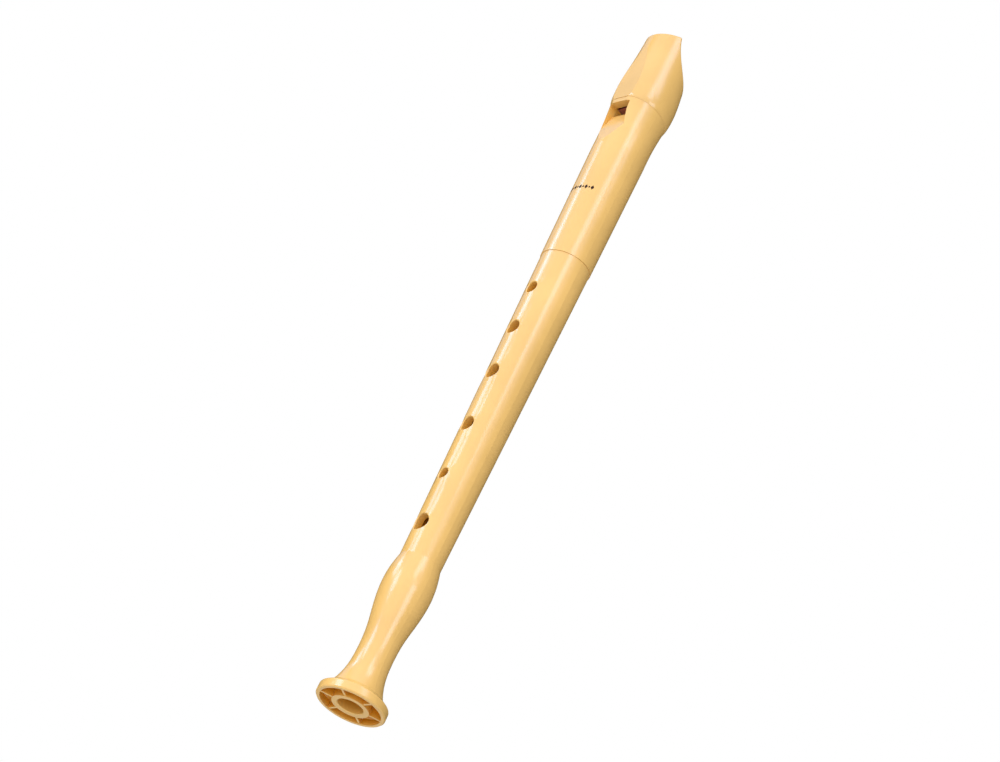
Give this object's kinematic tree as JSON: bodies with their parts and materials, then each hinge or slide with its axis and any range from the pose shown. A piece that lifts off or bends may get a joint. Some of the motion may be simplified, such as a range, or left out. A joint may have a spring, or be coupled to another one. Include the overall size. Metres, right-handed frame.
{
  "type": "soprano recorder",
  "caption": "Moulded plastic soprano recorder for school: a head with beak, windway block and window, pushed on to a body with finger holes and a flared, ribbed foot.",
  "frame": {"origin": "centre of the foot's end face, on the bore's axis", "axes": "+Z along the bore from the foot to the beak; -Y is the front, with the window and finger holes; the little finger's hole is offset towards -X"},
  "size_m": [0.0283, 0.0282, 0.3259],
  "materials": {
    "body_plastic": "gloss cream ABS",
    "head_plastic": "gloss cream ABS",
    "mouthpiece_plastic": "gloss cream ABS",
    "block_plastic": "matte red-brown plastic"
  },
  "bodies": {
    "body": {"body": "body_plastic"},
    "head": {"head_tube": "head_plastic", "mouthpiece": "mouthpiece_plastic", "block": "block_plastic"}
  },
  "joints": [
    {"name": "head_slide", "type": "slide", "parent": "body", "child": "head", "axis": [0, 0, 1], "range_m": [0, 0.024]}
  ]
}
